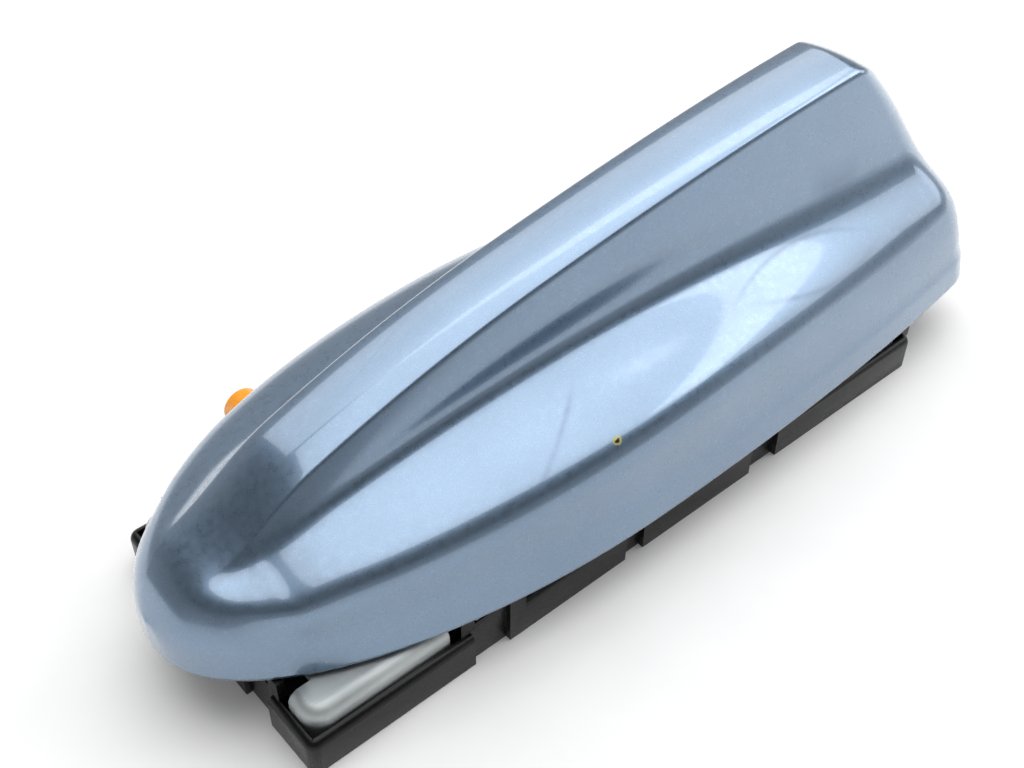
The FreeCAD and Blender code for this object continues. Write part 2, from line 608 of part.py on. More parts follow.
def leg_boxes(place, word):
    """Give the two blocks of a cover leg, upright and barb, behind a latch tab."""
    thick = mm("leg_thick")
    face = mm("tab_depth + tab_thick + fit_gap")
    low = mm("leg_low")
    slit = mm("slit_low + fit_gap")
    barb = mm("slit_high - slit_low - 2 * fit_gap")
    reach = mm("tab_thick")
    wide = mm("leg_width")
    if word == "nose":
        x = mm(f"-{HALF_X}") + face
        y = mm(place) - wide / 2
        return (Part.makeBox(thick, wide, 20, V(x, y, low)),
                Part.makeBox(reach + thick, wide, barb, V(x - reach, y, slit)))
    x = mm(place) - wide / 2
    side = SIDES[word]
    inner = mm(HALF_Y) - face - thick
    y_leg = inner if side > 0 else -inner - thick
    y_barb = inner if side > 0 else -inner - thick - reach
    return (Part.makeBox(wide, thick, 24, V(x, y_leg, low)),
            Part.makeBox(wide, thick + reach, barb, V(x, y_barb, slit)))


def build_cover():
    """Mould the fin cover: lofted skin and cavity, seal groove, and the legs that latch into the frame."""
    low = mm("cover_low")
    outer = skin(0.0, low)
    cavity = skin(mm("cover_wall"), low - 2.0)
    groove = rim_ring(mm("seal_inset"), mm("seal_width"), low - 1.0, low + mm("seal_depth"))
    shell = outer.cut(cavity).cut(groove)
    blocks = []
    for place, word in LEGS:
        leg, barb = leg_boxes(place, word)
        below = Part.makeBox(400, 200, low, V(-200, -100, 0))
        blocks += [leg.common(outer), leg.common(below), barb]
    cover = doc.addObject("Part::Feature", "cover_piece")
    cover.Shape = shell.fuse(blocks).removeSplitter()
    return cover


def build_seal():
    """Extrude the rubber seal that fills the groove and stands a lip below the cover's edge."""
    low = mm("cover_low")
    seal = doc.addObject("Part::Feature", "seal_piece")
    seal.Shape = rim_ring(mm("seal_inset") + 0.05, mm("seal_width") - 0.1, low - mm("seal_lip"),
                          low + mm("seal_depth") - 0.1)
    return seal


def build_patch():
    """Stack the patch antenna: amplifier can, ceramic block and electrode, drilled for the feed pin."""
    pieces = {}
    level = "plate_top"
    for node, size, thick in (("patch_can", "patch_size + 2", "patch_base"), ("patch_ceramic", "patch_size", "patch_thick"),
                              ("patch_electrode", "patch_metal", "foil_thick")):
        block = box(node + "_block", around("patch_x", size), around("0", size), (level, f"{level} + {thick}"))
        drill = rod(node + "_drill", "0.5", "30", ("patch_x", "0", "0"))
        pieces[node] = cut(node + "_piece", block, [drill])
        level = f"{level} + {thick}"
    pieces["patch_pin"] = rod("patch_pin_piece", "0.45", f"{level} - board_low", ("patch_x", "0", "board_low"))
    return pieces


def build_mast():
    """Stand the phone radiator on its carrier, with the pin that feeds it."""
    length = around("mast_x", "mast_length")
    foot = box("carrier_foot", length, around("0", "mast_foot"), ("mast_low", "mast_low + mast_foot_high"))
    web = box("carrier_web", length, ("foil_thick / 2 + 0.05", "mast_thick"), ("mast_low", "mast_top"))
    hole = rod("carrier_hole", "0.6", "14", ("mast_x", "0", "0"))
    carrier = cut("carrier_piece", fuse("carrier_blank", [foot, web]), [hole])
    sheet_x = around("mast_x", "mast_length - 6")
    foil = box("foil_blank", sheet_x, around("0", "foil_thick"), ("14.1", "mast_top - 1"))
    slots = [box("foil_slot_low", ("mast_x - mast_length / 4", "mast_x + mast_length"), ("-1", "1"), ("22", "24")),
             box("foil_slot_high", ("mast_x - mast_length", "mast_x + mast_length / 4"), ("-1", "1"), ("33", "35"))]
    pin = rod("mast_pin_piece", "0.45", "14 - board_low", ("mast_x", "0", "board_low"))
    return {"radiator_carrier": carrier, "phone_radiator": cut("foil_piece", foil, slots), "radiator_pin": pin}


def build_amplifier():
    """Fold the shield can on the main board and set the chips below it."""
    level = "board_low + board_thick"
    outside = box("can_outside", around("0", "can_length"), around("can_y", "can_width"), (level, f"{level} + can_height"))
    inside = box("can_inside", around("0", "can_length - 2 * foil_thick"), around("can_y", "can_width - 2 * foil_thick"),
                 (f"{level} - 1", f"{level} + can_height - foil_thick"))
    chips = [box(f"chip_{i}", around(f"{i} * can_length / 4", "chip_size"), around("can_y", "chip_size"),
                 (level, f"{level} + chip_height")) for i in (-1, 1)]
    return {"shield_can": cut("can_piece", outside, [inside]), "amplifier_chips": group("chips_piece", chips)}


def nodes():
    """Build every piece and give it under its plain name."""
    pieces = {"fin_cover": build_cover(), "cover_seal": build_seal(), "base_frame": build_frame(),
              "ground_plate": build_plate(), "bottom_lid": build_lid(), "main_board": build_board(),
              "board_screws": build_screws(), "fixing_bushes": build_bushes(), "jack_amber": build_jack(0),
              "jack_blue": build_jack(1), "jack_red": build_jack(2), "jack_sleeves": build_sleeves(),
              "jack_insulators": build_insulators(), "jack_pins": build_pins()}
    pieces.update(build_patch())
    pieces.update(build_mast())
    pieces.update(build_amplifier())
    return pieces


def write():
    """Recompute, test every object and write one file per piece."""
    pieces = nodes()
    doc.recompute()
    for thing in doc.Objects:
        if "Invalid" in thing.State or "Error" in thing.State:
            raise RuntimeError(f"{thing.Name} did not build: {thing.State}")
    os.makedirs("parts", exist_ok=True)
    for name, piece in pieces.items():
        piece.Label = name
        if piece.Shape.isNull() or not piece.Shape.isValid():
            raise RuntimeError(f"{name} has no valid shape")
        piece.Shape.exportStep(f"parts/{name}.step")


write()
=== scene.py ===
"""Studio scene of a fin roof antenna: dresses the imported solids, skins the cover and sets light and camera."""

import json
import logging
import math
from dataclasses import dataclass, field
from enum import Enum
from typing import Optional, Sequence

import bmesh
import bpy
import numpy as np
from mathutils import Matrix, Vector

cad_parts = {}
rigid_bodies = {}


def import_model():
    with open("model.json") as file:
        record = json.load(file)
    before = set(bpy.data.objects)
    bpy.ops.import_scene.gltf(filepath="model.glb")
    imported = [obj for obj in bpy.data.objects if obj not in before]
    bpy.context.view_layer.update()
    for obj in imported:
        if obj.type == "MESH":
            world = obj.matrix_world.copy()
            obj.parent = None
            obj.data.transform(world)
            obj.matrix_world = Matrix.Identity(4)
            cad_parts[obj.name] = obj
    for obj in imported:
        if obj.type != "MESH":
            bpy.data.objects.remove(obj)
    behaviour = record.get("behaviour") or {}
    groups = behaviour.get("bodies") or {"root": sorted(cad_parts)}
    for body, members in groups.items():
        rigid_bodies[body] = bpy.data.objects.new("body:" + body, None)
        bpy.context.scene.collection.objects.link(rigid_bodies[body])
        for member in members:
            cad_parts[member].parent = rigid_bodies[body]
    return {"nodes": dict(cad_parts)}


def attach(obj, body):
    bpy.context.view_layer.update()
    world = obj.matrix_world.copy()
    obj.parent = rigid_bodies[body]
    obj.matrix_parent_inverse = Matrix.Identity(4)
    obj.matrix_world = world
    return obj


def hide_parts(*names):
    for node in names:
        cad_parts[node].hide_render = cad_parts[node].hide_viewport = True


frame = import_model()
logging.basicConfig(level=logging.INFO, format="%(name)s: %(message)s")
LOG = logging.getLogger("antenna")
MM = 0.001
COAT_IOR = 1.7
COAT_ROUGHNESS = 0.07
NOISE_BAND = (0.3, 0.7)
SLOW_MM = 18.0
SLOW_BAND = (0.35, 0.65)
GRAIN_DETAIL = 3.0
GRAIN_ROUGH = (0.85, 1.15)
ROLLED_MM = 0.3
ROLLED_STRETCH = (0.05, 1.0, 1.0)
ROLLED_ROUGH = (0.88, 1.14)
SENSOR_MM = 36.0


def linear(code: str) -> tuple[float, float, float, float]:
    """Turn an sRGB hex colour into the linear values that shader sockets take.

    Args:
        code: Colour as "#rrggbb".

    Returns:
        Linear red, green, blue and an alpha of one.
    """
    parts = np.array([int(code[i:i + 2], 16) for i in (1, 3, 5)]) / 255.0
    lin = np.where(parts <= 0.04045, parts / 12.92, ((parts + 0.055) / 1.055) ** 2.4)
    return (float(lin[0]), float(lin[1]), float(lin[2]), 1.0)


class Role(Enum):
    """Kinds of surface on the antenna."""

    PAINT = "metallic_paint"
    MOULDED = "moulded_plastic"
    SHEET = "satin_sheet_metal"
    RUBBER = "seal_rubber"
    BOARD = "board_laminate"
    CERAMIC = "sintered_ceramic"


@dataclass(frozen=True)
class Finish:
    """One real finish.

    Attributes:
        name: Material name, after the real material.
        role: Kind of surface, which picks the node recipe.
        colour: Main colour as sRGB hex.
        shade: Second colour for the slow variation, as sRGB hex.
        roughness: Mean roughness.
        metallic: Share of metal.
        coat: Clear coat weight.
        grain_mm: Size of the fine grain in millimetres.
        grain_depth: Depth of that grain in millimetres.
        worn: Colour where the surface is worn or patterned, as sRGB hex, or empty for the second colour.
        specular: Specular level, 0.5 for a common plastic.
    """

    name: str
    role: Role
    colour: str
    shade: str
    roughness: float
    metallic: float = 0.0
    coat: float = 0.0
    grain_mm: float = 0.4
    grain_depth: float = 0.05
    worn: str = ""
    specular: float = 0.5


@dataclass(frozen=True)
class Mark:
    """A small worn place on a painted surface.

    Attributes:
        centre: Place in millimetres.
        radius: Outer radius in millimetres.
    """

    centre: tuple[float, float, float]
    radius: float


@dataclass(frozen=True)
class Scuff:
    """A faint curved rub in the clear coat: part of a ring, seen in plan.

    Attributes:
        centre: Middle of the ring in plan, in millimetres.
        radius: Radius of the ring in millimetres.
        width: Width of the rub in millimetres.
        middle: Place on the ring where the rub is strongest, in plan.
        reach: Distance from that place at which the rub has faded out, in millimetres.
    """

    centre: tuple[float, float]
    radius: float
    width: float
    middle: tuple[float, float]
    reach: float


@dataclass(frozen=True)
class Speckle:
    """A scattered pattern made from noise.

    Attributes:
        size_mm: Feature size in millimetres.
        detail: Octaves.
        low: Noise value at which the pattern starts.
        high: Noise value at which it is full.
        share: Share of the second colour where it is full.
        stretch: Factor on each coordinate; a small one draws the pattern out along that axis. None for no stretch.
    """

    size_mm: float
    detail: float
    low: float
    high: float
    share: float
    stretch: Optional[tuple[float, float, float]] = None


STAIN = Speckle(7.0, 4.0, 0.52, 0.72, 0.3)
RUBBED = Speckle(3.5, 5.0, 0.6, 0.72, 0.35)
PORES = Speckle(0.35, 1.0, 0.64, 0.72, 0.5)
COPPER = Speckle(1.1, 2.0, 0.56, 0.6, 0.5, (0.1, 1.0, 1.0))


@dataclass(frozen=True)
class PaintWear:
    """What sits in and on the paint.

    Attributes:
        flake_mm: Flake size in millimetres.
        flake_from: Random tone from which a flake is bright.
        flake_share: Share of the flake colour in the brightest flake.
        flake_colour: Flake colour as sRGB hex.
        rub_colour: Colour of a rub as sRGB hex.
        rub_share: Share of that colour.
        rub_rough: Roughness that a rub adds.
        rub_core: Share of a rub's reach over which it keeps its strength.
        chip_rim: Primer colour round a chip as sRGB hex.
        chip_core: Colour of a chip's core as sRGB hex.
        core_scale: Core radius as a share of the chip's.
        chip_rough: Roughness that a chip adds.
        rag_mm: Size of the ragged edge's noise in millimetres.
        rag_share: How far that noise moves the edge, as a share of the radius.
        edge_share: Half width of the soft edge, as a share of the radius.
    """

    flake_mm: float = 0.11
    flake_from: float = 0.6
    flake_share: float = 0.12
    flake_colour: str = "#b9cbe2"
    rub_colour: str = "#566b8a"
    rub_share: float = 0.28
    rub_rough: float = 0.12
    rub_core: float = 0.4
    chip_rim: str = "#a9a56a"
    chip_core: str = "#23261f"
    core_scale: float = 0.55
    chip_rough: float = 0.3
    rag_mm: float = 1.2
    rag_share: float = 0.35
    edge_share: float = 0.08


WEAR = PaintWear()


class Shader:
    """Builds one material from a finish."""

    def __init__(self, finish: Finish) -> None:
        """Start an empty node tree.

        Args:
            finish: Finish to build.
        """
        self.finish = finish
        self.material = bpy.data.materials.new(finish.name)
        self.material.use_nodes = True
        self.tree = self.material.node_tree
        self.tree.nodes.clear()
        self.out = self.add("ShaderNodeOutputMaterial")
        self.bsdf = self.add("ShaderNodeBsdfPrincipled")
        self.tree.links.new(self.bsdf.outputs[0], self.out.inputs[0])
        self.place = self.add("ShaderNodeTexCoord").outputs["Object"]

    def add(self, kind: str, links: Optional[dict] = None, **props: object) -> bpy.types.Node:
        """Add a node.

        Args:
            kind: Node type.
            links: Input name or number to a socket to link or a value to set.
            props: Node properties.

        Returns:
            The new node.
        """
        node = self.tree.nodes.new(kind)
        for key, value in props.items():
            setattr(node, key, value)
        for key, value in (links or {}).items():
            if isinstance(value, bpy.types.NodeSocket):
                self.tree.links.new(value, node.inputs[key])
            else:
                node.inputs[key].default_value = value
        return node

    def noise(self, size_mm: float, detail: float = 2.0,
              stretch: Optional[tuple[float, float, float]] = None) -> bpy.types.NodeSocket:
        """Add noise of a real size.

        Args:
            size_mm: Feature size in millimetres.
            detail: Octaves.
            stretch: Factor on each coordinate, or None.

        Returns:
            The noise value.
        """
        place = self.place
        if stretch:
            place = self.add("ShaderNodeMapping", {"Vector": place, "Scale": stretch}).outputs[0]
        return self.add("ShaderNodeTexNoise", {"Vector": place, "Scale": 1.0 / (size_mm * MM),
                                               "Detail": detail}).outputs[0]

    def remap(self, value: bpy.types.NodeSocket, low: float, high: float, to_low: float,
              to_high: float) -> bpy.types.NodeSocket:
        """Map a range of values to another, clamped.

        Args:
            value: Socket to map.
            low: Input value that gives to_low.
            high: Input value that gives to_high.
            to_low: Output at low.
            to_high: Output at high.

        Returns:
            The mapped value.
        """
        return self.add("ShaderNodeMapRange", {"Value": value, "From Min": low, "From Max": high,
                                               "To Min": to_low, "To Max": to_high}).outputs[0]

    def mix(self, share: object, first: object, second: object) -> bpy.types.NodeSocket:
        """Mix two colours.

        Args:
            share: Socket or value of the share of the second colour.
            first: Colour or socket.
            second: Colour or socket.

        Returns:
            The mixed colour.
        """
        node = self.add("ShaderNodeMix", {0: share, 6: first, 7: second}, data_type="RGBA")
        return node.outputs[2]

    def spot(self, mark: Mark, scale: float = 1.0) -> bpy.types.NodeSocket:
        """Give the share of a ragged round spot.

        Args:
            mark: Place and size.
            scale: Factor on the radius.

        Returns:
            One inside the spot and nought outside.
        """
        middle = tuple(c * MM for c in mark.centre)
        gap = self.add("ShaderNodeVectorMath", {0: self.place, 1: middle}, operation="DISTANCE").outputs["Value"]
        rag = self.remap(self.noise(WEAR.rag_mm), *NOISE_BAND, -WEAR.rag_share, WEAR.rag_share)
        reach = self.math("ADD", gap, self.math("MULTIPLY", rag, mark.radius * MM))
        edge = mark.radius * scale * MM
        return self.remap(reach, edge * (1 + WEAR.edge_share), edge * (1 - WEAR.edge_share), 0.0, 1.0)

    def bump(self, height: bpy.types.NodeSocket, depth_mm: float) -> None:
        """Drive the shader's normal with a height.

        Args:
            height: Height share.
            depth_mm: Real depth in millimetres.
        """
        node = self.add("ShaderNodeBump", {"Height": height, "Distance": depth_mm * MM, "Strength": 1.0})
        self.tree.links.new(node.outputs[0], self.bsdf.inputs["Normal"])

    def math(self, kind: str, first: object, second: object = 0.0) -> bpy.types.NodeSocket:
        """Combine two values.

        Args:
            kind: Operation, such as "MULTIPLY".
            first: Value or socket.
            second: Value or socket.

        Returns:
            The result.
        """
        return self.add("ShaderNodeMath", {0: first, 1: second}, operation=kind).outputs[0]

    def rub(self, scuff: Scuff) -> bpy.types.NodeSocket:
        """Give the share of a curved rub: nearness to its ring times nearness to its middle, both in plan.

        Args:
            scuff: Place and size.

        Returns:
            One on the rub and nought away from it.
        """
        plan = self.add("ShaderNodeVectorMath", {0: self.place, 1: (1.0, 1.0, 0.0)}, operation="MULTIPLY").outputs[0]

        def gap(to: tuple[float, float]) -> bpy.types.NodeSocket:
            """Distance in plan from a point.

            Args:
                to: Point in millimetres.

            Returns:
                The distance in metres.
            """
            point = (to[0] * MM, to[1] * MM, 0.0)
            return self.add("ShaderNodeVectorMath", {0: plan, 1: point}, operation="DISTANCE").outputs["Value"]

        off = self.math("ABSOLUTE", self.math("SUBTRACT", gap(scuff.centre), scuff.radius * MM))
        line = self.remap(off, 0.0, scuff.width * MM, 1.0, 0.0)
        near = self.remap(gap(scuff.middle), scuff.reach * WEAR.rub_core * MM, scuff.reach * MM, 1.0, 0.0)
        return self.math("MULTIPLY", line, near)

    def paint(self, colour: bpy.types.NodeSocket, rough: bpy.types.NodeSocket, marks: Sequence[Mark],
              scuffs: Sequence[Scuff]) -> tuple[bpy.types.NodeSocket, bpy.types.NodeSocket]:
        """Add what sits in and on the paint: flakes, rubs and chips.

        Args:
            colour: Colour so far.
            rough: Roughness so far.
            marks: Stone chips.
            scuffs: Curved rubs.

        Returns:
            Colour and roughness.
        """
        # Fine bright flakes under the coat give the paint its silvery life in the highlights.
        cells = self.add("ShaderNodeTexVoronoi", {"Vector": self.place, "Scale": 1.0 / (WEAR.flake_mm * MM)})
        tone = self.add("ShaderNodeSeparateColor", {0: cells.outputs["Color"]}).outputs[0]
        flake = self.remap(tone, WEAR.flake_from, 1.0, 0.0, WEAR.flake_share)
        colour = self.mix(flake, colour, linear(WEAR.flake_colour))
        for scuff in scuffs:
            # A dried rub dulls the coat along a curved line.
            share = self.rub(scuff)
            colour = self.mix(self.math("MULTIPLY", share, WEAR.rub_share), colour, linear(WEAR.rub_colour))
            rough = self.math("ADD", rough, self.math("MULTIPLY", share, WEAR.rub_rough))
        for mark in marks:
            # A stone chip: yellow-green primer rim round a dark core.
            rim = self.spot(mark)
            colour = self.mix(rim, colour, linear(WEAR.chip_rim))
            colour = self.mix(self.spot(mark, WEAR.core_scale), colour, linear(WEAR.chip_core))
            rough = self.math("ADD", rough, self.math("MULTIPLY", rim, WEAR.chip_rough))
        return colour, rough

    def speckled(self, colour: bpy.types.NodeSocket, speckle: Speckle) -> bpy.types.NodeSocket:
        """Scatter the finish's worn colour, or its second colour where it has none, over a colour.

        Args:
            colour: Colour so far.
            speckle: Pattern.

        Returns:
            The mixed colour.
        """
        noise = self.noise(speckle.size_mm, speckle.detail, speckle.stretch)
        share = self.remap(noise, speckle.low, speckle.high, 0.0, speckle.share)
        return self.mix(share, colour, linear(self.finish.worn or self.finish.shade))

    def build(self, marks: Sequence[Mark] = (), scuffs: Sequence[Scuff] = ()) -> bpy.types.Material:
        """Wire the recipe of the finish's role.

        Args:
            marks: Stone chips, used by paint.
            scuffs: Curved rubs, used by paint.

        Returns:
            The material.
        """
        f = self.finish
        inputs = self.bsdf.inputs
        inputs["Metallic"].default_value = f.metallic
        inputs["Specular IOR Level"].default_value = f.specular
        inputs["Coat Weight"].default_value = f.coat
        inputs["Coat IOR"].default_value = COAT_IOR
        inputs["Coat Roughness"].default_value = COAT_ROUGHNESS
        slow = self.remap(self.noise(SLOW_MM), *SLOW_BAND, 0.0, 1.0)
        colour = self.mix(slow, linear(f.colour), linear(f.shade))
        grain = self.noise(f.grain_mm, GRAIN_DETAIL)
        rough = self.remap(grain, *NOISE_BAND, *(f.roughness * share for share in GRAIN_ROUGH))
        if f.role is Role.PAINT:
            colour, rough = self.paint(colour, rough, marks, scuffs)
        elif f.role is Role.SHEET:
            # Long faint rolling lines give the drawn sheet its soft directional sheen.
            streak = self.noise(ROLLED_MM, stretch=ROLLED_STRETCH)
            rough = self.remap(streak, *NOISE_BAND, *(f.roughness * share for share in ROLLED_ROUGH))
            # Slight handling stains dull the metal in patches.
            colour = self.speckled(colour, STAIN)
        elif f.role in (Role.MOULDED, Role.RUBBER):
            # Rubbed places catch a little more light than the fresh moulded skin.
            colour = self.speckled(colour, RUBBED)
        elif f.role is Role.BOARD:
            # Copper runs under the resist show as paler bands.
            colour = self.speckled(colour, COPPER)
        else:
            # Fine dark pores speckle the fired block.
            colour = self.speckled(colour, PORES)
        self.tree.links.new(colour, inputs["Base Color"])
        self.tree.links.new(rough, inputs["Roughness"])
        if f.grain_depth > 0.0:
            self.bump(grain, f.grain_depth)
        return self.material


def spline_weights(knots: int, samples: int) -> np.ndarray:
    """Weights of a natural cubic spline through evenly spaced knots.

    The second slopes solve the usual tridiagonal system, so each sample is a weighted sum of the knots.

    Args:
        knots: Number of knots.
        samples: Number of samples from the first knot to the last.

    Returns:
        Array of samples by knots.
    """
    system = np.eye(knots)
    rows = np.arange(1, knots - 1)
    system[rows, rows - 1], system[rows, rows], system[rows, rows + 1] = 1.0, 4.0, 1.0
    right = np.zeros((knots, knots))
    right[rows, rows - 1], right[rows, rows], right[rows, rows + 1] = 6.0, -12.0, 6.0
    bend = np.linalg.solve(system, right)
    t = np.linspace(0.0, knots - 1.0, samples)
    i = np.minimum(t.astype(int), knots - 2)
    b = (t - i)[:, None]
    a = 1.0 - b
    unit = np.eye(knots)
    return a * unit[i] + b * unit[i + 1] + ((a ** 3 - a) * bend[i] + (b ** 3 - b) * bend[i + 1]) / 6.0


def mesh_object(name: str, points: np.ndarray, faces: Sequence) -> bpy.types.Object:
    """Make a smooth mesh object at the origin from millimetre points.

    Args:
        name: Object name.
        points: Array of n by 3, in millimetres.
        faces: Index rows.

    Returns:
        The object, linked to the scene.
    """
    mesh = bpy.data.meshes.new(name)
    mesh.from_pydata((points * MM).tolist(), [], np.asarray(faces).tolist())
    mesh.polygons.foreach_set("use_smooth", np.ones(len(mesh.polygons), bool))
    mesh.update()
    thing = bpy.data.objects.new(name, mesh)
    bpy.context.collection.objects.link(thing)
    return thing


@dataclass
class FinCover:
    """The moulded cover, skinned as a closed grid of the same sections as its solid. Sizes in millimetres.

    Attributes:
        nose: Place of the nose tip.
        widest: Place where the edge is widest.
        half: Half width there.
        plan_power: Power of the nose curve in plan.
        rear_axis: Long half axis of the rear ellipse in plan.
        tail: Place of the tail at the ridge.
        top: Height of the ridge there.
        low: Height of the rim.
        rake: How far the tail's foot stands behind its top.
        rake_from: Place from which the rows lean back.
        rake_power: Power of that lean along the length.
        wall: Thickness of the wall.
        wall_shares: Shares of the wall by which ridge height, ridge and valley move in.
        skirt_height: Height of the crease over the rim.
        skirt_lean: How far the skirt leans in.
        nose_limits: Shares that hold crease height, crease, ridge and valley together at the nose.
        valley_half: Half width at the valley.
        valley_tail: The same at the tail.
        valley_rise: Share of the flank's rise at which the valley lies.
        valley_sag: Loss of that share per millimetre of rise.
        wall_hollow: Hollow of the side wall between valley and ridge.
        hollow_way: Shares of the hollow that go inwards and down.
        shoulder_out: Share of the fender's width at its shoulder.
        shoulder_up: Share of the valley's lift at the shoulder.
        shoulder_tail: The same at the tail.
        shoulder_in: Share of the fender's width that the shoulder is drawn in at the tail.
        fender_up: Height of the fender's lower knot as a share of the shoulder's.
        fender_in: Share of the fender's width by which that knot stands in.
        ridge_half: Half width of the ridge at the fourth station.
        ridge_flare: Growth of that half width along the length.
        crown: Rise of the ridge's middle over its crease.
        tail_round: Radius of the tail's edges.
        turn_least: Least half width that the rounding of the ridge's end works from.
        turn_down: How far the ridge's end turns down, as a share of the radius.
        ledge: How far the flank stands in over the skirt.
        ledge_run: Length within which it steps in.
        ledge_fade: Length within which it comes back out.
        ledge_limit: Most of the half width that the step may take.
        dome: Places where the nose dome starts and where it is full.
        dome_power: Power of the dome's rounded section.
        dome_turns: Angles of the dome's knots.
        stations: Places and heights of the ridge crease.
        counts: Columns of skirt, flank and crown on one side.
        length_rows: Rows from nose to tail.
        table_rows: Sections in the table that the leaning rows read.
        lean_passes: Passes that bring each leaning point to its own section.
        height_limit: Most that a height counts for in the lean, as a share of the top.
        soften_reach: Columns on each side of a crease that are rounded.
        soften_passes: Passes of that rounding.
        leg_width: Width of a latch leg.
        leg_thick: Thickness of a leg.
        leg_barb: How far its barb stands out.
        leg_low: Height of its foot.
        leg_root: Height of its root over the rim.
        barb_low: Lower side of the barb.
        barb_high: Upper side of the barb.
        leg_face_y: Outer face of the side legs.
        leg_face_x: Outer face of the nose legs.
        leg_places: Place along the length and side of each side leg.
        nose_leg_y: Distance of the nose legs from the middle.
        objects: Pieces made so far.
    """

    nose: float = -87.5
    widest: float = -3.5
    half: float = 34.1
    plan_power: float = 0.45
    rear_axis: float = 170.0
    tail: float = 77.0
    top: float = 63.6
    low: float = 12.5
    rake: float = 25.0
    rake_from: float = 10.0
    rake_power: float = 1.5
    wall: float = 2.5
    wall_shares: tuple = (1.25, 0.8, 0.4)
    skirt_height: float = 4.8
    skirt_lean: float = 1.0
    nose_limits: tuple = (0.6, 0.75, 0.5, 0.45)
    valley_half: float = 13.0
    valley_tail: float = 14.5
    valley_rise: float = 0.88
    valley_sag: float = 0.0087
    wall_hollow: float = 0.9
    hollow_way: tuple = (0.8, 0.3)
    shoulder_out: float = 0.75
    shoulder_up: float = 0.77
    shoulder_tail: float = 0.68
    shoulder_in: float = 0.2
    fender_up: float = 0.48
    fender_in: float = 0.05
    ridge_half: float = 7.2
    ridge_flare: float = 0.008
    crown: float = 1.3
    tail_round: float = 6.0
    turn_least: float = 7.0
    turn_down: float = 1.3
    ledge: float = 0.5
    ledge_run: float = 1.2
    ledge_fade: float = 9.0
    ledge_limit: float = 0.3
    dome: tuple = (-69.0, -82.0)
    dome_power: float = 0.77
    dome_turns: tuple = (0.35, 0.6, 0.85, 1.05, 1.2, 1.32)
    stations: tuple = ((-87.5, 16.5), (-84.0, 22.3), (-75.5, 28.2), (-57.5, 39.2), (-7.5, 52.7),
                       (77.0, 63.6))
    counts: tuple = (12, 100, 22)
    length_rows: int = 230
    table_rows: int = 900
    lean_passes: int = 5
    height_limit: float = 1.05
    soften_reach: int = 5
    soften_passes: int = 3
    leg_width: float = 5.0
    leg_thick: float = 2.0
    leg_barb: float = 1.5
    leg_low: float = 8.0
    leg_root: float = 6.0
    barb_low: float = 9.4
    barb_high: float = 10.8
    leg_face_y: float = 27.1
    leg_face_x: float = -74.6
    leg_places: tuple = ((-40.2, -1.0), (30.0, -1.0), (30.0, 1.0))
    nose_leg_y: float = 13.5
    objects: list = field(default_factory=list)

    def half_width(self, x: np.ndarray, inset: float) -> np.ndarray:
        """Half width of the edge: a full nose curve and a long rear ellipse that meet at the widest place.

        Args:
            x: Lengthwise places.
            inset: Distance that the outline is moved in.

        Returns:
            Half widths.
        """
        front = x < self.widest
        axis = np.where(front, self.widest - self.nose - inset, self.rear_axis)
        share = np.clip(1.0 - ((x - self.widest) / axis) ** 2, 0.0, None)
        return (self.half - inset) * share ** np.where(front, self.plan_power, 0.5)

    def ridge_height(self, x: np.ndarray) -> np.ndarray:
        """Ridge crease height: cubic through the stations with harmonic-mean slopes.

        Args:
            x: Lengthwise places.

        Returns:
            Heights.
        """
        knots = np.array(self.stations)
        step = np.diff(knots[:, 1]) / np.diff(knots[:, 0])
        slope = np.concatenate([step[:1], 2 * step[:-1] * step[1:] / (step[:-1] + step[1:]), step[-1:] / 2])
        x = np.clip(x, knots[0, 0], knots[-1, 0])
        i = np.clip(np.searchsorted(knots[:, 0], x, side="right") - 1, 0, len(knots) - 2)
        run = knots[i + 1, 0] - knots[i, 0]
        t = (x - knots[i, 0]) / run
        return (knots[i, 1] * (1 + 2 * t) * (1 - t) ** 2 + run * slope[i] * t * (1 - t) ** 2
                + knots[i + 1, 1] * t * t * (3 - 2 * t) + run * slope[i + 1] * t * t * (t - 1))

    @staticmethod
    def ramp(x: np.ndarray, start: float, end: float) -> np.ndarray:
        """Smooth step from nought at the start to one at the end.

        Args:
            x: Places.
            start: Where it leaves nought.
            end: Where it reaches one.

        Returns:
            Shares.
        """
        share = np.clip((x - start) / (end - start), 0.0, 1.0)
        return share * share * (3 - 2 * share)

